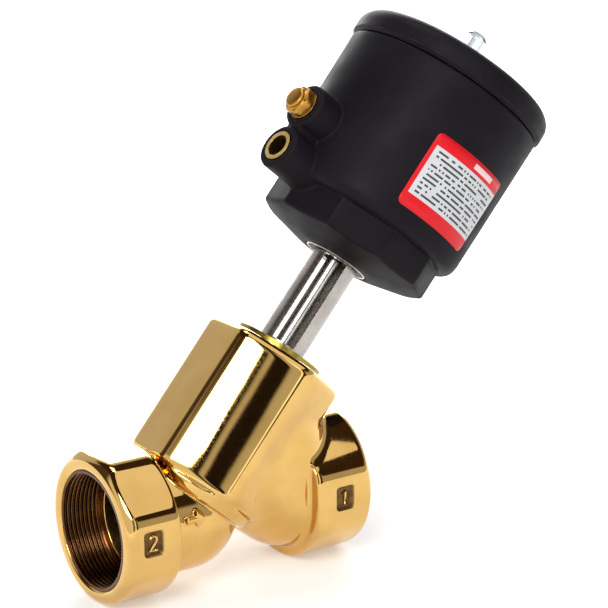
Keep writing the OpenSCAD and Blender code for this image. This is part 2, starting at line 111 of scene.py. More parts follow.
FACE_TO_FACE = MOUNTS["port_1"]["pos_m"][0] / MM
THREAD_CREST = MOUNTS["port_1"]["dims"]["r_mm"]
THREAD_DEPTH = MOUNTS["port_1"]["dims"]["length_mm"]
THREAD_PITCH = 25.4 / 11
THREAD_HEIGHT = 0.64 * THREAD_PITCH
PORT_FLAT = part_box("valve_body")[1].y / MM
PORT_2_LENGTH = 29.4
PORT_1_LENGTH = 34.2
PORT_CORNER_RADIUS = 41
PORT_FACE_RADIUS = 35.2
PORT_BACK_RADIUS = 38.5

NECK_AZIMUTH = radians(-128)
NECK_FLAT = 33.2
NECK_BOTTOM = 14
NECK_TOP = 92.5
BAND_RADIUS = 34
BAND_BOTTOM = 9
ELBOW_RADIUS = 30
FAIRING_RADIUS = 31.2
PASSAGE_RADIUS = 24
FAIRING_PASSAGE_RADIUS = 23.5
CHAMBER_RADIUS = 28.5
FAIRING_FOOT = 38
FAIRING_TOP = 66
FAIRING_END = FACE_TO_FACE - 32

LID_TOP = height_span("lid")[1]
HOUSING_BOTTOM, HOUSING_TOP = height_span("actuator_housing")
HOUSING_RADIUS = 54.2
PILOT_HEIGHT = 174.5
EXHAUST_HEIGHT = 198.5
BOSS_RADIUS = 11.85
BOSS_FACE = 68
BOSS_ROOT = 40
PLUG_FLAT = 7.0
SOCKET_RADIUS = 7.85
SOCKET_DEPTH = 11.6
AIRWAY_RADIUS = 2
BASE_FLAT = 44.7
BARREL_BOTTOM = 170
BARREL_DRAFT = 0.7
BARREL_DRAFT_HEIGHT = 75
BORE_RADIUS = 48
BORE_BOTTOM = 173
LID_SKIRT_BOTTOM = 241.1
RECESS_RADIUS = 17.6
YOKE_RADIUS = 11.7
LABEL_LEFT = radians(-118)
LABEL_RIGHT = radians(-62)
LABEL_CORNER = 3.0

# ---- Distance fields ----

VOXEL = 0.6


class Space:
    """A block of sample points, as x, y, z and as bonnet coordinates, all in millimetres."""

    def __init__(self, low, high):
        self.low = np.array(low, np.float32) - 2 * VOXEL
        steps = [np.arange(a, b + 2 * VOXEL, VOXEL, dtype=np.float32) for a, b in zip(self.low, high)]
        self.x, self.y, self.z = np.meshgrid(*steps, indexing="ij", sparse=True)

    def along(self, direction, origin):
        """How far each point lies from an origin along a direction."""
        offsets = (self.x - origin.x, self.y - origin.y, self.z - origin.z)
        return sum(offset * part for offset, part in zip(offsets, direction))


def soft_max(a, b, size):
    """The larger of two fields, with the crease between them rounded over that size."""
    blend = np.maximum(size - np.abs(a - b), 0) / size
    return np.maximum(a, b) + blend * blend * (size / 4)


def soft_min(a, b, size):
    return -soft_max(-a, -b, size)


def cut_away(body, tool, size):
    """A body with a tool's space taken out of it."""
    return soft_max(body, -tool, size)


def slab(value, low, high):
    """Distance to the space between two parallel planes."""
    return np.maximum(low - value, value - high)


def prism(u, v, sides, apothem, turn, rounding, crowns=()):
    """Distance to an endless regular prism. Crowns are the radii of its slightly bulging sides."""
    result = None
    for side in range(sides):
        angle = turn + tau * side / sides
        out = u * cos(angle) + v * sin(angle)
        across = v * cos(angle) - u * sin(angle)
        plane = out - apothem
        if crowns:
            crown = crowns[side]
            plane = np.hypot(out - apothem + crown, across) - crown
        result = plane if result is None else soft_max(result, plane, rounding)
    return result


def cylinder(radial, radius, along, low, high, rounding):
    return soft_max(radial - radius, slab(along, low, high), rounding)


def polygon_distance(u, v, corners):
    """Distance in a plane to a filled convex polygon with its corners in anticlockwise order."""
    outside = None
    nearest = None
    for (u1, v1), (u2, v2) in zip(corners, corners[1:] + corners[:1]):
        du, dv = u2 - u1, v2 - v1
        length = float(np.hypot(du, dv))
        side = ((v - v1) * du - (u - u1) * dv) / length
        share = np.clip(((u - u1) * du + (v - v1) * dv) / length**2, 0, 1)
        gap = np.hypot(u - u1 - share * du, v - v1 - share * dv)
        outside = -side if outside is None else np.maximum(outside, -side)
        nearest = gap if nearest is None else np.minimum(nearest, gap)
    return np.where(outside > 0, nearest, 0)


def sample_field(field, grid_points):
    """A field's values between its samples, at points counted in samples."""
    limit = np.array(field.shape) - 1.001
    held = np.clip(grid_points, 0, limit)
    base = held.astype(int)
    share = held - base
    total = 0
    for corner in range(8):
        step = np.array((corner & 1, corner >> 1 & 1, corner >> 2 & 1))
        index = base + step
        weight = np.prod(np.where(step, share, 1 - share), axis=1)
        total = total + weight * field[index[:, 0], index[:, 1], index[:, 2]]
    return total


def settle(field, grid_points):
    """Points moved onto the field's zero, so that flat faces mirror cleanly."""
    for _ in range(3):
        value = sample_field(field, grid_points)
        slope = np.stack([
            sample_field(field, grid_points + step) - sample_field(field, grid_points - step)
            for step in np.eye(3) * 0.5
        ], axis=1)
        steepness = np.maximum((slope**2).sum(axis=1), 0.05)
        move = slope * (value / steepness)[:, None]
        grid_points = grid_points - np.clip(move, -0.5, 0.5)
    return grid_points


def skin(name, field, low, placement=Matrix()):
    """A smooth closed mesh where a field is zero, with its points placed by a matrix in millimetres."""
    volume = openvdb.FloatGrid()
    volume.background = 3 * VOXEL
    volume.copyFromArray(np.clip(field, -3 * VOXEL, 3 * VOXEL).astype(np.float32))
    points, quads = volume.convertToQuads()
    points = settle(field, np.asarray(points, float)) * VOXEL + np.asarray(low, float)
    turn = np.array(placement.to_3x3())
    points = points @ turn.T + np.array(placement.translation)
    return mesh_object(name, points, np.asarray(quads)[:, ::-1])


# ---- Meshes ----


def mesh_object(name, points, faces, smooth=True):
    """A mesh object from points in millimetres, facing outwards."""
    mesh = bpy.data.meshes.new(name)
    mesh.from_pydata((np.asarray(points, float) * MM).tolist(), [], [list(map(int, face)) for face in faces])
    mesh.validate()
    mesh.update()
    if signed_volume(mesh) < 0:
        mesh.flip_normals()
    mesh.shade_smooth() if smooth else mesh.shade_flat()
    piece = bpy.data.objects.new(name, mesh)
    bpy.context.scene.collection.objects.link(piece)
    return piece


def signed_volume(mesh):
    mesh.calc_loop_triangles()
    corners = np.zeros(len(mesh.vertices) * 3)
    mesh.vertices.foreach_get("co", corners)
    corners = corners.reshape(-1, 3)
    triangles = np.zeros(len(mesh.loop_triangles) * 3, int)
    mesh.loop_triangles.foreach_get("vertices", triangles)
    a, b, c = (corners[triangles[i::3]] for i in range(3))
    return float(np.einsum("ij,ij->i", a, np.cross(b, c)).sum())


def place(points, placement):
    """Points moved by a matrix in millimetres."""
    turn = np.array(placement.to_3x3())
    return np.asarray(points, float) @ turn.T + np.array(placement.translation)


def ring_quads(rings, segments, closed=False):
    """Quads from each ring of points to the next one, and from the last to the first if closed."""
    faces = []
    for ring in range(rings if closed else rings - 1):
        here, there = ring * segments, (ring + 1) % rings * segments
        for step in range(segments):
            after = (step + 1) % segments
            faces.append((here + step, here + after, there + after, there + step))
    return faces


def arc(centre, radius, start, stop, steps=8):
    """Points of an arc in the plane of a profile, with its angles in degrees."""
    angles = [radians(start + (stop - start) * i / steps) for i in range(steps + 1)]
    return [(centre[0] + radius * cos(a), centre[1] + radius * sin(a)) for a in angles]


def tube_along(name, path, radius, sides=12):
    """A closed round tube along a path of vectors, with flat ends."""
    points = []
    for i, point in enumerate(path):
        ahead = path[min(i + 1, len(path) - 1)] - path[max(i - 1, 0)]
        ahead.normalize()
        across = ahead.cross(BONNET_SIDE if abs(ahead.dot(BONNET_SIDE)) < 0.8 else BONNET_AXIS).normalized()
        up = across.cross(ahead)
        for j in range(sides):
            angle = tau * j / sides
            points.append(point + across * (radius * cos(angle)) + up * (radius * sin(angle)))
    faces = ring_quads(len(path), sides)
    last = (len(path) - 1) * sides
    faces.append(tuple(range(sides)))
    faces.append(tuple(last + j for j in reversed(range(sides))))
    return mesh_object(name, points, faces)


def thread_sleeve(name, crest, depth, pitch, height, wall, placement, segments=120):
    """A sleeve along z from 0 to depth whose inside carries a helical thread, faded out at both ends."""
    rows_per_turn = 8
    rows = int(depth / pitch * rows_per_turn)
    points = []
    for row in range(rows + 1):
        along = depth * row / rows
        fade = min(1, along / (0.6 * pitch), (depth - along) / (1.2 * pitch))
        for step in range(segments):
            turn = step / segments
            phase = (along / pitch - turn) % 1
            groove = min(1, max(0, 1.5 - abs(phase - 0.5) * 4)) if abs(phase - 0.5) < 0.4 else 0
            radius = crest + height * groove * max(0, fade)
            points.append((radius * cos(tau * turn), radius * sin(tau * turn), along))
    inner = (rows + 1) * segments
    for along in (0, depth):
        for step in range(segments):
            angle = tau * step / segments
            points.append(((crest + wall) * cos(angle), (crest + wall) * sin(angle), along))
    near, far = inner, inner + segments
    top = rows * segments
    faces = ring_quads(rows + 1, segments)
    for step in range(segments):
        after = (step + 1) % segments
        faces.append((near + step, far + step, far + after, near + after))
        faces.append((step, near + step, near + after, after))
        faces.append((top + step, top + after, far + after, far + step))
    return mesh_object(name, place(points, placement), faces)


def rounded_ring(name, radius, thickness, placement, rings=96, sides=12):
    """A ring of round section about the placement's z axis."""
    points = []
    for i in range(rings):
        for j in range(sides):
            out = radius + thickness * cos(tau * j / sides)
            up = thickness * sin(tau * j / sides)
            points.append((out * cos(tau * i / rings), out * sin(tau * i / rings), up))
    return mesh_object(name, place(points, placement), ring_quads(rings, sides, closed=True))


def finish_piece(piece, body, material, replaced=()):
    """Gives a new piece its material and its body, and hides the CAD nodes it stands for."""
    piece.data.materials.append(material)
    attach(piece, body)
    if replaced:
        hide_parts(*replaced)
    return piece


# ---- Materials ----


class Nodes:
    """Short ways to add nodes to one tree."""

    def __init__(self, tree):
        self.tree = tree

    def node(self, kind, **settings):
        made = self.tree.nodes.new(kind)
        for key, value in settings.items():
            setattr(made, key, value)
        return made

    def link(self, source, target):
        self.tree.links.new(source, target)

    def math(self, operation, a, b=0.0, c=0.0):
        made = self.node("ShaderNodeMath", operation=operation)
        for i, value in enumerate((a, b, c)):
            if isinstance(value, (int, float)):
                made.inputs[i].default_value = value
            else:
                self.link(value, made.inputs[i])
        return made.outputs[0]

    def span(self, value, low, high, to_low, to_high):
        """A value's range carried over to another, and held inside it."""
        made = self.node("ShaderNodeMapRange", interpolation_type="SMOOTHSTEP")
        self.link(value, made.inputs["Value"])
        ends = {"From Min": low, "From Max": high, "To Min": to_low, "To Max": to_high}
        for socket, number in ends.items():
            made.inputs[socket].default_value = number
        return made.outputs["Result"]

    def mix(self, share, a, b):
        made = self.node("ShaderNodeMix", data_type="RGBA")
        self.link(share, made.inputs["Factor"])
        for socket, value in (("A", a), ("B", b)):
            target = [entry for entry in made.inputs if entry.name == socket and entry.type == "RGBA"][0]
            if isinstance(value, tuple):
                target.default_value = (*value, 1)
            else:
                self.link(value, target)
        return [entry for entry in made.outputs if entry.type == "RGBA"][0]

    def dot(self, a, b):
        made = self.node("ShaderNodeVectorMath", operation="DOT_PRODUCT")
        self.link(a, made.inputs[0])
        if isinstance(b, tuple):
            made.inputs[1].default_value = b
        else:
            self.link(b, made.inputs[1])
        return made.outputs["Value"]


class Finish(Nodes):
    """A procedural material: a Principled shader and the nodes that feed it."""

    def __init__(self, name, **sockets):
        self.material = bpy.data.materials.new(name)
        self.material.use_nodes = True
        super().__init__(self.material.node_tree)
        self.shader = self.tree.nodes["Principled BSDF"]
        for socket, value in sockets.items():
            self.shader.inputs[socket.replace("_", " ")].default_value = value
        self.position = self.node("ShaderNodeTexCoord").outputs["Object"]

    def noise(self, per_metre, detail=3.0, roughness=0.5):
        made = self.node("ShaderNodeTexNoise")
        made.inputs["Scale"].default_value = per_metre
        made.inputs["Detail"].default_value = detail
        made.inputs["Roughness"].default_value = roughness
        self.link(self.position, made.inputs["Vector"])
        return made.outputs["Fac"]

    def edges(self, width):
        """1 along convex and concave edges, 0 on the flat."""
        bevel = self.node("ShaderNodeBevel", samples=4)
        bevel.inputs["Radius"].default_value = width * MM
        geometry = self.node("ShaderNodeNewGeometry")
        likeness = self.dot(bevel.outputs["Normal"], geometry.outputs["Normal"])
        return self.span(likeness, 0.995, 0.90, 0.0, 1.0), bevel.outputs["Normal"]

    def bump(self, height, depth, strength=1.0, normal=None):
        made = self.node("ShaderNodeBump")
        made.inputs["Strength"].default_value = strength
        made.inputs["Distance"].default_value = depth * MM
        self.link(height, made.inputs["Height"])
        if normal is not None:
            self.link(normal, made.inputs["Normal"])
        return made.outputs["Normal"]

    def feed(self, **sources):
        for socket, source in sources.items():
            self.link(source, self.shader.inputs[socket.replace("_", " ")])
        return self.material

    def bonnet_position(self):
        """Object coordinates with z along the bonnet axis."""
        turn = self.node("ShaderNodeMapping", vector_type="POINT")
        turn.inputs["Rotation"].default_value = TO_BONNET.to_euler()
        self.link(self.position, turn.inputs["Vector"])
        return turn.outputs["Vector"]


def polished_bronze():
    """Buffed casting: mirror bright, faintly rippled, and rough where the wheel can't reach, where its colour
    is dark as-cast bronze deepened as painted shade. Its edges carry a pale painted highlight.
    """
    f = Finish("polished_bronze", Metallic=1.0)
    cast = f.node("ShaderNodeAttribute", attribute_name="cast").outputs["Fac"]
    cloud = f.noise(45, 4)
    stain = f.noise(260, 5, 0.6)
    colour = f.mix(f.span(cloud, 0.35, 0.7, 0, 1), (0.70, 0.45, 0.15), (0.64, 0.395, 0.12))
    colour = f.mix(f.span(stain, 0.62, 0.8, 0, 0.35), colour, (0.55, 0.31, 0.085))
    # Paler, less saturated colour along convex and concave edges: a painted highlight.
    edge, _ = f.edges(0.5)
    colour = f.mix(f.math("MULTIPLY", edge, 0.35), colour, (0.86, 0.64, 0.30))
    # Dark as-cast colour, darkened far past bare bronze: painted shade inside the chamber, the passages and
    # the sunk number panels.
    cast_colour_and_painted_shade = f.mix(f.span(stain, 0.35, 0.7, 0, 1), (0.10, 0.05, 0.018), (0.22, 0.12, 0.04))
    colour = f.mix(cast, colour, cast_colour_and_painted_shade)
    polish = f.span(f.noise(900, 3), 0.3, 0.8, 0.035, 0.075)
    gloss = f.math("MULTIPLY_ADD", cast, 0.42, polish)
    ripple = f.bump(f.noise(34, 1), 0.16, 0.5)
    scuff = f.bump(f.noise(1400, 2), 0.004, 0.2, ripple)
    return f.feed(Base_Color=colour, Roughness=gloss, Normal=scuff)


def turned_metal(name, light, dark, gloss, rings=2.2, depth=0.008):
    """Lathe-turned metal, with fine rings about the bonnet axis and a painted highlight along its edges."""
    f = Finish(name, Metallic=1.0)
    upright = f.bonnet_position()
    wave = f.node("ShaderNodeTexWave", wave_type="BANDS", bands_direction="Z")
    wave.inputs["Scale"].default_value = rings / MM / 20
    wave.inputs["Distortion"].default_value = 1.4
    wave.inputs["Detail"].default_value = 2.0
    f.link(upright, wave.inputs["Vector"])
    colour = f.mix(f.span(f.noise(120, 4), 0.3, 0.7, 0, 1), light, dark)
    edge, rounded = f.edges(0.25)
    # Brighter colour along convex and concave edges: a painted highlight.
    colour = f.mix(f.math("MULTIPLY", edge, 0.5), colour, tuple(min(1, c * 1.3) for c in light))
    smear = f.span(f.noise(700, 4), 0.3, 0.75, gloss * 0.85, gloss * 1.2)
    return f.feed(
        Base_Color=colour,
        Roughness=smear,
        Normal=f.bump(wave.outputs["Fac"], depth, 0.2, rounded),
    )


def moulded(name, colour, shade, gloss, grain=0.02, specular=0.3, wear_and_highlight=(0.10, 0.10, 0.11)):
    """Moulded plastic or rubber: fine spark-eroded grain, cloudy gloss and paler edges, partly rubbed wear
    and partly painted highlight.
    """
    f = Finish(name, Specular_IOR_Level=specular)
    tone = f.mix(f.span(f.noise(28, 5, 0.6), 0.35, 0.7, 0, 1), colour, shade)
    # Paler patches along convex and concave edges: partly rubbed wear, partly painted highlight.
    edge, rounded = f.edges(0.6)
    patchy = f.math("MULTIPLY", edge, f.span(f.noise(180, 3), 0.4, 0.65, 0.05, 0.5))
    tone = f.mix(patchy, tone, wear_and_highlight)
    roughness = f.span(f.noise(70, 4), 0.3, 0.7, gloss * 0.9, gloss * 1.12)
    fine = f.noise(1500, 3, 0.7)
    return f.feed(Base_Color=tone, Roughness=roughness, Normal=f.bump(fine, grain, 0.5, rounded))


def clear_plastic():
    """Clear polycarbonate, faintly smoky, so that its edges show darker than its faces."""
    f = Finish("clear_plastic", IOR=1.5)
    haze = f.span(f.noise(300, 3), 0.3, 0.8, 0.02, 0.08)
    tint = f.mix(f.noise(90, 2), (0.95, 0.97, 0.97), (0.88, 0.92, 0.93))
    smoke = f.node("ShaderNodeVolumeAbsorption")
    smoke.inputs["Color"].default_value = (0.55, 0.58, 0.60, 1)
    smoke.inputs["Density"].default_value = 300
    output = f.tree.nodes["Material Output"]
    f.link(smoke.outputs["Volume"], output.inputs["Volume"])
    split = f.node("ShaderNodeSeparateXYZ")
    f.link(f.bonnet_position(), split.inputs[0])
    skirt = (LID_TOP + 8.5 + BONNET_FOOT.dot(BONNET_AXIS)) * MM
    clear = f.span(split.outputs["Z"], skirt - 0.001, skirt + 0.001, 0.35, 1.0)
    return f.feed(
        Base_Color=tint, Roughness=haze, Transmission_Weight=clear, Normal=f.bump(f.noise(900, 2), 0.01, 0.3))


def label_print(low, high, left, right):
    """Printed film. UV holds millimetres along and up the label: a white field between red bands, with
    rows of bars where a rating plate has its lines."""
    f = Finish("label_print", Specular_IOR_Level=0.25)
    uv = f.node("ShaderNodeUVMap").outputs["UV"]
    split = f.node("ShaderNodeSeparateXYZ")
    f.link(uv, split.inputs[0])
    across, up = split.outputs["X"], split.outputs["Y"]

    def inside(value, start, stop):
        return f.math("MULTIPLY", f.math("GREATER_THAN", value, start), f.math("LESS_THAN", value, stop))

    field = f.math("MULTIPLY", inside(up, low, high), inside(across, left, right))
    row_height = 2.5
    row = f.math("DIVIDE", f.math("SUBTRACT", up, low + 1.0), row_height)
    stripe = inside(f.math("FRACT", row), 0.3, 0.72)
    cell = f.node("ShaderNodeCombineXYZ")
    f.link(f.math("FLOOR", f.math("DIVIDE", across, 1.1)), cell.inputs["X"])
    f.link(f.math("FLOOR", row), cell.inputs["Y"])
    chance = f.node("ShaderNodeTexWhiteNoise", noise_dimensions="2D")
    f.link(cell.outputs[0], chance.inputs["Vector"])
    word = f.math("GREATER_THAN", chance.outputs["Value"], 0.3)
    print_area = f.math("MULTIPLY", inside(up, low + 1, high - 1), inside(across, left + 2.5, right - 3))
    ink = f.math("MULTIPLY", f.math("MULTIPLY", stripe, word), print_area)
    title = f.math("MULTIPLY", inside(up, high + 1.8, high + 4.6), inside(across, 26, 42))
    fade = f.noise(150, 3)
    red = f.mix(fade, (0.66, 0.008, 0.016), (0.56, 0.006, 0.012))
    white = f.mix(fade, (0.60, 0.61, 0.63), (0.50, 0.51, 0.53))
    colour = f.mix(field, red, white)
    colour = f.mix(ink, colour, (0.05, 0.05, 0.055))
    colour = f.mix(title, colour, (0.75, 0.55, 0.55))
    gloss = f.span(f.noise(400, 3), 0.3, 0.7, 0.28, 0.4)
    return f.feed(Base_Color=colour, Roughness=gloss, Normal=f.bump(f.noise(120, 2), 0.05, 0.3))


def floor_paper():
    f = Finish("floor_paper", Roughness=0.9, Specular_IOR_Level=0.1)
    tone = f.mix(f.noise(3, 2), (0.93, 0.93, 0.93), (0.90, 0.90, 0.905))
    # The floor glows, from 0.3 near the centre to 0.85 far away: painted light that keeps the distant floor
    # white.
    away = f.node("ShaderNodeVectorMath", operation="LENGTH")
    f.link(f.position, away.inputs[0])
    f.shader.inputs["Emission Color"].default_value = (1, 1, 1, 1)
    painted_floor_glow = f.span(away.outputs["Value"], 0.15, 1.2, 0.3, 0.85)
    return f.feed(Base_Color=tone, Emission_Strength=painted_floor_glow)


BRONZE = polished_bronze()
# Thread colour far darker than bronze: painted shade inside the port holes.
PAINTED_SHADE_THREAD_BRONZE = turned_metal("thread_bronze_painted_shade", (0.16, 0.070, 0.024), (0.09, 0.036, 0.012), 0.24, 0.4, 0.001)
BRASS = turned_metal("turned_brass", (0.78, 0.56, 0.22), (0.62, 0.42, 0.13), 0.22)
DULL_BRASS = turned_metal("dull_brass", (0.50, 0.27, 0.045), (0.38, 0.18, 0.03), 0.36)
OLIVE_BRASS = turned_metal("oiled_brass", (0.42, 0.32, 0.06), (0.28, 0.20, 0.03), 0.28)
STAINLESS = turned_metal("stainless", (0.60, 0.58, 0.55), (0.47, 0.45, 0.43), 0.18)
SATIN_STEEL = turned_metal("satin_steel", (0.46, 0.425, 0.395), (0.38, 0.35, 0.325), 0.26, 0.4, 0.001)
# Near-black steel for the thrust washer: painted shade in the housing's recess round the yoke.
WASHER_PAINTED_SHADE_STEEL = turned_metal("washer_steel_painted_shade", (0.045, 0.042, 0.04), (0.03, 0.028, 0.027), 0.5)
SPRING_STEEL = turned_metal("spring_steel", (0.42, 0.42, 0.43), (0.30, 0.30, 0.31), 0.3)
BLACK_PLASTIC = moulded(
    "black_plastic", (0.0088, 0.0074, 0.0100), (0.0058, 0.0048, 0.0068), 0.5, 0.05, 0.08, (0.08, 0.08, 0.085))
GREY_PLASTIC = moulded("grey_plastic", (0.10, 0.11, 0.12), (0.07, 0.08, 0.09), 0.5)
RUBBER = moulded("seal_rubber", (0.015, 0.015, 0.015), (0.03, 0.03, 0.03), 0.6, 0.03, 0.3)
PALE_RUBBER = moulded("pale_rubber", (0.62, 0.62, 0.60), (0.50, 0.50, 0.49), 0.55, 0.02, 0.3, (0.7, 0.7, 0.7))
PTFE = moulded("ptfe", (0.82, 0.82, 0.79), (0.72, 0.72, 0.69), 0.45, 0.01, 0.4, (0.9, 0.9, 0.88))
YELLOW = moulded("yellow_plastic", (0.80, 0.52, 0.02), (0.68, 0.42, 0.015), 0.35, 0.01, 0.5, (0.9, 0.7, 0.2))
CLEAR = clear_plastic()

CAD_FINISHES = {
    "polished_bronze": BRONZE,
    "brass": BRASS,
    "ptfe": PTFE,
    "stainless": STAINLESS,
    "spring_steel": SPRING_STEEL,
    "black_plastic": BLACK_PLASTIC,
    "grey_plastic": GREY_PLASTIC,
    "seal_rubber": RUBBER,
    "yellow_plastic": YELLOW,
    "clear_plastic": CLEAR,
    "pale_rubber": PALE_RUBBER,
    "label_film": PTFE,
}


def dress_cad_nodes():
    """Gives each carried-over CAD node the procedural finish of its record slot."""
    for subpart in RECORD["subparts"]:
        node = frame["nodes"][subpart["node"]]
        node.data.materials.clear()
        node.data.materials.append(CAD_FINISHES[subpart["material_slot"]])
    frame["nodes"]["stuffing_box"].data.materials[0] = OLIVE_BRASS
    # The thrust washer is painted near black as shade in the recess.
    frame["nodes"]["thrust_washer"].data.materials[0] = WASHER_PAINTED_SHADE_STEEL
    frame["nodes"]["yoke"].data.materials[0] = SATIN_STEEL


# ---- Valve body ----

PORT_NUMBER_X = {"port_2": 13.6, "port_1": FACE_TO_FACE - 17.5}
PORT_NUMBER_Z = {"port_2": 3.3, "port_1": 1.7}


def port_end_field(inward, y, z, length):
    """One octagonal pipe end: soft edges, a coned face and a rounded underside."""
    radial = np.hypot(y, z)
    body = prism(y, z, 8, PORT_FLAT, 0, 2.2, [130] * 8)
    body = soft_max(body, np.hypot(y, z - 4) - PORT_CORNER_RADIUS, 3)
    body = soft_max(body, (radial - PORT_FACE_RADIUS) * 0.66 - inward * 0.75, 1.6)
    body = soft_max(body, (radial - PORT_BACK_RADIUS) * 0.66 + (inward - length) * 0.75, 2.5)
    return soft_max(body, slab(inward, 0, length), 1.0)


def bore_field(inward, radial):
    """The threaded hole of one pipe end, opened to the thread's root, with a small chamfer."""
    root = cylinder(radial, THREAD_CREST + THREAD_HEIGHT + 0.3, inward, -5, THREAD_DEPTH, 0.3)
    return np.minimum(root, (radial - THREAD_CREST - THREAD_HEIGHT - 1.4) * 0.7 + inward * 0.7)


def fairing_corners():
    """The triangle, in x and z, round which the fairing between neck and port 1 is rolled."""
    return [
        (BONNET_FOOT.x + FAIRING_FOOT * BONNET_AXIS.x, FAIRING_FOOT * BONNET_AXIS.z),
        (FAIRING_END, 0),
        (BONNET_FOOT.x + FAIRING_TOP * BONNET_AXIS.x, FAIRING_TOP * BONNET_AXIS.z),
    ]


def casting_field(x, y, z, u, h):
    """The outside of the casting. u and h are the bonnet's own coordinates across and along."""
    bonnet_radial = np.hypot(u, y)
    elbow = np.sqrt(np.maximum(x - BONNET_FOOT.x, 0) ** 2 + y**2 + z**2) - ELBOW_RADIUS
    elbow = np.maximum(elbow, PORT_2_LENGTH - 4 - x)
    band_side = (bonnet_radial - BAND_RADIUS) * 0.94 + (NECK_BOTTOM + 0.5 - h) * 0.34
    band = soft_max(band_side, slab(h, BAND_BOTTOM, NECK_BOTTOM + 1), 1.5)
    neck = prism(u, y, 6, NECK_FLAT, NECK_AZIMUTH, 3.6, [120] + [420] * 5)
    neck = soft_max(neck, slab(h, NECK_BOTTOM, NECK_TOP), 5)
    fairing = np.hypot(polygon_distance(x, z, fairing_corners()), y) - FAIRING_RADIUS

    body = soft_min(neck, fairing, 1.4)
    body = soft_min(body, band, 1.2)
    body = soft_min(body, elbow, 1.2)
    body = soft_min(body, port_end_field(x, y, z, PORT_2_LENGTH), 2)
    body = soft_min(body, port_end_field(FACE_TO_FACE - x, y, z, PORT_1_LENGTH), 2.5)
    return soft_min(body, arrow_field(x, y, z), 1.0)


def cast_spaces(x, y, z, u, h):
    """What is left as cast: the chamber, both passages and the panels of the port numbers."""
    bonnet_radial = np.hypot(u, y)
    pipe_radial = np.hypot(y, z)
    chamber = cylinder(bonnet_radial, CHAMBER_RADIUS, h, NECK_BOTTOM, 2 * NECK_TOP, 1)
    chamber = np.minimum(chamber, cylinder(bonnet_radial, CHAMBER_RADIUS - 1.5, h, 4, NECK_BOTTOM + 2, 1))
    seat = cylinder(bonnet_radial, PASSAGE_RADIUS - 1.5, h, -4, 10, 0.5)
    inlet = cylinder(pipe_radial, PASSAGE_RADIUS, x, THREAD_DEPTH - 2, BONNET_FOOT.x, 0.5)
    inlet = np.minimum(inlet, np.sqrt((x - BONNET_FOOT.x) ** 2 + pipe_radial**2) - PASSAGE_RADIUS - 1)
    outlet = np.hypot(polygon_distance(x, z, fairing_corners()[:2]), y) - FAIRING_PASSAGE_RADIUS
    mouth = cylinder(pipe_radial, PASSAGE_RADIUS, x, FAIRING_END, FACE_TO_FACE - THREAD_DEPTH + 2, 0.5)
    spaces = np.minimum(chamber, seat)
    spaces = np.minimum(spaces, np.maximum(inlet, h + 1.5))
    spaces = np.minimum(spaces, np.maximum(np.minimum(outlet, mouth), 4 - h))
    for port in PORT_NUMBER_X:
        spaces = np.minimum(spaces, pad_field(x, y, z, port))
    return spaces


def pad_field(x, y, z, port):
    """The sunk panel that a port number stands in."""
    half_width, half_height, sunk = 5, 6, 1.2
    side = slab(x - PORT_NUMBER_X[port], -half_width, half_width)
    side = soft_max(side, slab(z - PORT_NUMBER_Z[port], -half_height, half_height), 2)
    return soft_max(side, y + PORT_FLAT - sunk, 0.6)


def arrow_field(x, y, z):
    """The cast flow arrow on the elbow's front, pointing from port 2 to port 1."""
    along = x - BONNET_FOOT.x + 8
    up = z - 7
    tip, barb, tail = 4.6, 1, -4.4
    half_head, half_shaft, swelling = 3.0, 0.7, 0.9
    front, back = -31.4, -24
    head = polygon_distance(along, up, [(barb, -half_head), (tip, 0), (barb, half_head)])
    corners = [(tail, -half_shaft), (barb, -half_shaft), (barb, half_shaft), (tail, half_shaft)]
    shaft = polygon_distance(along, up, corners)
    outline = np.minimum(head, shaft) - swelling
    return soft_max(outline, slab(y, front, back), 1.4)


def make_body():
    """The casting, with an attribute that is 1 where its surface is left as cast."""
    low = (0, -PORT_FLAT, -PORT_FLAT)
    high = (FACE_TO_FACE, PORT_FLAT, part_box("valve_body")[1].z / MM)
    space = Space(low, high)
    x, y, z = space.x, space.y, space.z
    u = space.along(BONNET_FRONT, BONNET_FOOT)
    h = space.along(BONNET_AXIS, BONNET_FOOT)
    spaces = cast_spaces(x, y, z, u, h)
    body = cut_away(casting_field(x, y, z, u, h), spaces, 0.8)
    body = cut_away(body, bore_field(x, np.hypot(y, z)), 0.6)
    body = cut_away(body, bore_field(FACE_TO_FACE - x, np.hypot(y, z)), 0.6)
    casting = skin("body_casting", body, space.low)
    points = np.zeros(len(casting.data.vertices) * 3)
    casting.data.vertices.foreach_get("co", points)
    points = points.reshape(-1, 3) / MM
    depth = sample_field(spaces, (points - space.low) / VOXEL)
    cast = np.clip(1 - depth / 0.5, 0, 1)
    casting.data.attributes.new("cast", "FLOAT", "POINT").data.foreach_set("value", cast.astype(np.float32))
    return finish_piece(casting, "valve", BRONZE, ["valve_body"])


def make_port_threads():
    """The pipe threads of both ports, each a sleeve in its hole."""
    start = 1.0
    for port, face_x, inward in (("port_2", 0, 1), ("port_1", FACE_TO_FACE, -1)):
        placement = Matrix.Translation((face_x + inward * start, 0, 0))
        placement @= Matrix.Rotation(radians(90 * inward), 4, "Y")
        sleeve = thread_sleeve(
            port + "_thread", THREAD_CREST, THREAD_DEPTH - start - 0.2, THREAD_PITCH,
            THREAD_HEIGHT, THREAD_HEIGHT + 0.6, placement)
        finish_piece(sleeve, "valve", PAINTED_SHADE_THREAD_BRONZE)
        shoulder = Matrix.Translation((face_x + inward * (THREAD_DEPTH + 0.1), 0, 0))
        shoulder @= Matrix.Rotation(radians(90), 4, "Y")
        lip = rounded_ring(port + "_shoulder_lip", 24.3, 0.55, shoulder)
        finish_piece(lip, "valve", BRONZE)


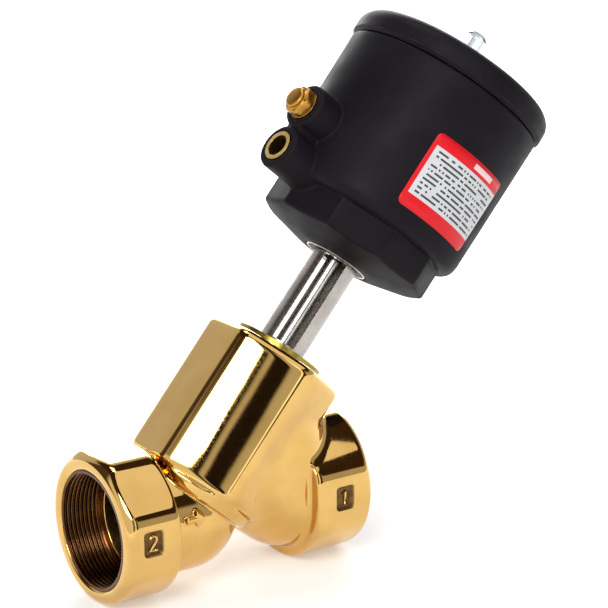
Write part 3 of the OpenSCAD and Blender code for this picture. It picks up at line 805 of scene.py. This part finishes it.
def make_port_numbers():
    """The raised figures in their sunk panels."""
    bowl = arc((0, 1.9), 1.9, 165, -35, 10)
    strokes = {
        "port_2": [*bowl, (-1.9, -3.6), (2.1, -3.6)],
        "port_1": [(-1.5, 2.2), (0.3, 3.7), (0.3, -3.7)],
    }
    sunk, stroke_radius = 0.95, 0.75
    for port, stroke in strokes.items():
        x, z = PORT_NUMBER_X[port], PORT_NUMBER_Z[port]
        path = [Vector((x + a, -PORT_FLAT + sunk, z + b)) for a, b in stroke]
        figure = tube_along(port + "_figure", path, stroke_radius, 10)
        finish_piece(figure, "valve", BRONZE)


# ---- Actuator ----


def wall_radius(height):
    """Outer radius of the housing's slightly drafted cylinder."""
    return HOUSING_RADIUS - BARREL_DRAFT * np.clip((HOUSING_TOP - height) / BARREL_DRAFT_HEIGHT, 0, 1)


def housing_field():
    """The housing in its own upright space: a coned ten-sided base, a drafted cylinder, two bosses."""
    low = (-BOSS_FACE, -HOUSING_RADIUS, HOUSING_BOTTOM)
    high = (HOUSING_RADIUS, HOUSING_RADIUS, HOUSING_TOP)
    space = Space(low, high)
    u, v, h = space.x, space.y, space.z
    radial = np.hypot(u, v)
    base = prism(u, v, 10, BASE_FLAT, radians(18), 0.6)
    base = soft_max(base, slab(h, HOUSING_BOTTOM, BARREL_BOTTOM + 5), 1)
    cone_start, cone_sine, cone_cosine = 20, 0.26, 0.965
    slope = (radial - cone_start) * cone_sine + (HOUSING_BOTTOM - h) * cone_cosine
    base = soft_max(base, slope, 1.6)
    barrel = soft_max(radial - wall_radius(h), BARREL_BOTTOM - h, 8)
    barrel = soft_max(barrel, h - HOUSING_TOP, 1.2)
    shell = soft_min(base, barrel, 0.5)
    for height in (PILOT_HEIGHT, EXHAUST_HEIGHT):
        boss = cylinder(np.hypot(v, h - height), BOSS_RADIUS, u, -BOSS_FACE, -BOSS_ROOT, 1.6)
        shell = soft_min(shell, boss, 0.6)
    middle = (PILOT_HEIGHT + EXHAUST_HEIGHT) / 2
    half_height, half_width, set_back = 12, 5.6, 1.5
    web = np.maximum(slab(h, middle - half_height, middle + half_height), slab(v, -half_width, half_width))
    web = soft_max(web, slab(u, set_back - BOSS_FACE, -BOSS_ROOT), 1.5)
    shell = soft_min(shell, web, 0.8)

    below, above = HOUSING_BOTTOM - 5, 2 * HOUSING_TOP
    hollow = cylinder(radial, BORE_RADIUS, h, BORE_BOTTOM, above, 1)
    hollow = np.minimum(hollow, cylinder(radial, BORE_RADIUS - 8, h, BORE_BOTTOM - 13, BORE_BOTTOM + 7, 1))
    hollow = np.minimum(hollow, cylinder(radial, BORE_RADIUS + 2, h, LID_SKIRT_BOTTOM, above, 0.5))
    hollow = np.minimum(hollow, cylinder(radial, RECESS_RADIUS, h, below, HOUSING_BOTTOM + 3, 0.3))
    hollow = np.minimum(hollow, cylinder(radial, YOKE_RADIUS, h, below, BARREL_BOTTOM, 0.3))
    for height in (PILOT_HEIGHT, EXHAUST_HEIGHT):
        socket = cylinder(np.hypot(v, h - height), SOCKET_RADIUS, u, -80, SOCKET_DEPTH - BOSS_FACE, 0.3)
        hollow = np.minimum(hollow, socket)
    airway = cylinder(np.hypot(v, h - PILOT_HEIGHT), AIRWAY_RADIUS, u, -60, -BOSS_ROOT, 0.3)
    hollow = np.minimum(hollow, airway)
    return space, cut_away(shell, hollow, 0.8)


def make_housing():
    space, field = housing_field()
    housing = skin("housing_moulding", field, space.low, BONNET)
    return finish_piece(housing, "head", BLACK_PLASTIC, ["actuator_housing"])


def make_washer_lip():
    """The bright rolled edge of the thrust washer, seen round the yoke in the housing's recess."""
    placement = BONNET @ Matrix.Translation((0, 0, height_span("thrust_washer")[0] + 0.1))
    lip = rounded_ring("washer_lip", radius_of("thrust_washer") - 0.55, 0.5, placement)
    finish_piece(lip, "valve", STAINLESS)


def make_exhaust_protector():
    """The brass plug over the exhaust port: a chamfered hexagon, a groove and a rounded cap."""
    # Each ring: its height above the boss, its radius, and whether the hexagon's flats cut it
    profile = [
        (0.7, 7.6, True), (1.3, 8.0, True), (4.9, 8.0, True), (5.8, 7.0, False), (5.8, 4.6, False),
        (6.5, 4.6, False), (6.6, 5.6, False), (7.4, 5.6, False), (8.0, 5.1, False), (8.35, 4.2, False),
    ]
    segments = 96
    placement = BONNET @ Matrix.Translation((-BOSS_FACE, 0, EXHAUST_HEIGHT))
    placement @= Matrix.Rotation(-pi / 2, 4, "Y")
    points = []
    for out, radius, flatted in profile:
        for step in range(segments):
            angle = tau * step / segments
            flat = PLUG_FLAT / cos((angle + pi / 6) % (pi / 3) - pi / 6)
            reach = min(radius, flat) if flatted else radius
            points.append((reach * cos(angle), reach * sin(angle), out))
    last = (len(profile) - 1) * segments
    faces = [tuple(reversed(range(segments))), *ring_quads(len(profile), segments)]
    faces.append(tuple(last + step for step in range(segments)))
    plug = mesh_object("exhaust_plug", place(points, placement), faces)
    finish_piece(plug, "head", DULL_BRASS, ["exhaust_protector"])


def make_spring():
    """The main spring, a smooth coil."""
    low, high = height_span("main_spring")
    wire = 2.6
    coil_radius = radius_of("main_spring") - wire
    turns = 6
    closed = 2.1 * wire
    pitch = (high - low - 2 * wire - 2 * closed) / (turns - 2)
    steps = 36
    path = []
    for i in range(turns * steps + 1):
        turn = i / steps
        rise = closed * min(turn, 1) + pitch * max(0, min(turn, turns - 1) - 1)
        rise += closed * max(0, turn - turns + 1)
        angle = tau * turn
        path.append(BONNET @ Vector((coil_radius * cos(angle), coil_radius * sin(angle), low + wire + rise)))
    spring = tube_along("spring_coil", path, wire, 14)
    finish_piece(spring, "head", SPRING_STEEL, ["main_spring"])
    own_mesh(spring)


def make_label():
    """The rating label: a thin film with round corners, wrapped on the housing."""
    low, high = height_span("rating_label")
    corner = LABEL_CORNER
    width = (LABEL_RIGHT - LABEL_LEFT) * HOUSING_RADIUS
    columns = [corner * (1 - cos(radians(15 * i))) for i in range(7)]
    columns += [corner + (width - 2 * corner) * i / 24 for i in range(1, 24)]
    columns += [width - c for c in reversed(columns[:7])]
    rows = 10
    points = []
    flat = []
    for lift in (0.06, 0.28):
        for s in columns:
            edge = min(s, width - s)
            inset = corner - (max(0, corner**2 - (corner - edge) ** 2)) ** 0.5 if edge < corner else 0
            angle = LABEL_LEFT + s / HOUSING_RADIUS
            for row in range(rows + 1):
                height = low + inset + (high - low - 2 * inset) * row / rows
                radius = wall_radius(height) + lift
                points.append(BONNET @ Vector((radius * cos(angle), radius * sin(angle), height)))
                flat.append((s, height - low))
    count = rows + 1
    sheet = len(columns) * count
    faces = []
    for i in range(len(columns) - 1):
        for row in range(rows):
            a, b = i * count + row, (i + 1) * count + row
            faces.append((sheet + a, sheet + b, sheet + b + 1, sheet + a + 1))
            faces.append((a, a + 1, b + 1, b))
        for row in (0, rows):
            a, b = i * count + row, (i + 1) * count + row
            faces.append((a, b, sheet + b, sheet + a) if row == 0 else (a, sheet + a, sheet + b, b))
    for i in (0, len(columns) - 1):
        for row in range(rows):
            a = i * count + row
            face = (a, sheet + a, sheet + a + 1, a + 1)
            faces.append(face if i == 0 else tuple(reversed(face)))
    label = mesh_object("label_film", points, faces)
    layer = label.data.uv_layers.new(name="print")
    for loop in label.data.loops:
        layer.data[loop.index].uv = flat[loop.vertex_index]
    label_finish = label_print(7, high - low - 6.5, 2.4, width + 1)
    finish_piece(label, "head", label_finish, ["rating_label"])


# ---- Studio ----


def area_light(name, location, target, size, radiance, size_y=None):
    """A soft box of a given brightness, aimed at a target."""
    light = bpy.data.lights.new(name, "AREA")
    light.shape = "RECTANGLE"
    light.size = size
    light.size_y = size_y or size
    light.energy = radiance * pi * light.size * light.size_y
    lamp = bpy.data.objects.new(name, light)
    lamp.location = location
    lamp.rotation_euler = (Vector(target) - Vector(location)).to_track_quat("-Z", "Y").to_euler()
    bpy.context.scene.collection.objects.link(lamp)


# Brightness of the room round the horizon: an azimuth in degrees and a level
ROOM = [
    (-180, 1.1), (-148, 1.1), (-141, 1.3), (-128, 1.2), (-126.5, 0.4), (-124, 0.1), (-122, 0.02),
    (-120, 0.02), (-119.5, 0.75), (-117.3, 0.75), (-116.8, 0.02), (-109, 0.02), (-108.2, 0.75),
    (-97, 0.75), (-95, 2.2), (-89, 2.2), (-87, 0.05), (-72, 0.08), (-66, 0.65), (0, 0.6), (50, 0.9),
    (84, 0.85), (119, 0.72), (126, 0.10), (152, 0.10), (162, 1.1), (180, 1.1),
]


def make_world():
    """A pale room with warm dark stretches behind the camera and overhead, where polished metal finds its
    dark bands. The soft boxes give the light."""
    world = bpy.data.worlds.new("studio")
    world.use_nodes = True
    room = Nodes(world.node_tree)
    background = room.tree.nodes["Background"]
    direction = room.node("ShaderNodeTexCoord").outputs["Generated"]
    split = room.node("ShaderNodeSeparateXYZ")
    room.link(direction, split.inputs[0])
    bearing = room.math("ARCTAN2", split.outputs["Y"], split.outputs["X"])
    ramp = room.node("ShaderNodeValToRGB")
    elements = ramp.color_ramp.elements
    for angle, level in ROOM[1:-1]:
        elements.new((angle + 180) / 360)
    for element, (angle, level) in zip(elements, ROOM):
        element.position = (angle + 180) / 360
        warmth = max(0, 1 - level / 0.5)
        element.color = (level, level * (1 - 0.35 * warmth), level * (1 - 0.5 * warmth), 1)
    room.link(room.math("MULTIPLY_ADD", bearing, 1 / tau, 0.5), ramp.inputs["Fac"])
    overhead = room.span(split.outputs["Z"], 0.60, 0.72, 0, 1)
    dark_corner = room.span(room.dot(direction, (0.56, -0.40, 0.73)), 0.84, 0.90, 0, 1)
    darkness = room.math("MAXIMUM", overhead, dark_corner)
    room.link(room.mix(darkness, ramp.outputs["Color"], (0.05, 0.03, 0.02)), background.inputs["Color"])
    background.inputs["Strength"].default_value = 0.9
    bpy.context.scene.world = world


def make_studio():
    middle = (cad_bounds[0] + cad_bounds[1]) / 2
    floor_z = cad_bounds[0].z
    half = 6.0
    paper = bpy.data.meshes.new("floor")
    corners = [(-half, -half), (half, -half), (half, half), (-half, half)]
    paper.from_pydata([(a, b, floor_z) for a, b in corners], [], [(0, 1, 2, 3)])
    floor_sheet = bpy.data.objects.new("floor", paper)
    paper.materials.append(floor_paper())
    bpy.context.scene.collection.objects.link(floor_sheet)
    make_world()
    area_light("key", middle + Vector((-0.80, -0.72, 0.80)), middle, 0.56, 9)
    area_light("back", middle + Vector((0.70, 1.00, 0.35)), middle, 1.3, 6, 0.6)
    area_light("right", Vector((0.17, -0.20, 0.45)), Vector((0.02, 0, 0)), 0.36, 1.1)
    area_light("top", middle + Vector((0.1, 0.3, 1.3)), middle, 0.6, 4)
    bpy.context.scene.view_settings.view_transform = "Standard"


def make_camera():
    camera = bpy.data.cameras.new("camera")
    camera.lens = 143.1
    camera.sensor_width = 36
    camera.clip_start = 0.05
    holder = bpy.data.objects.new("camera", camera)
    holder.location = (-0.5326, -0.9509, 0.4564)
    holder.rotation_euler = (radians(72.586), radians(-0.292), radians(-34.593))
    bpy.context.scene.collection.objects.link(holder)
    bpy.context.scene.camera = holder


dress_cad_nodes()
make_body()
make_port_threads()
make_port_numbers()
make_housing()
make_washer_lip()
make_exhaust_protector()
make_spring()
make_label()
make_studio()
make_camera()

bpy.context.view_layer.update()
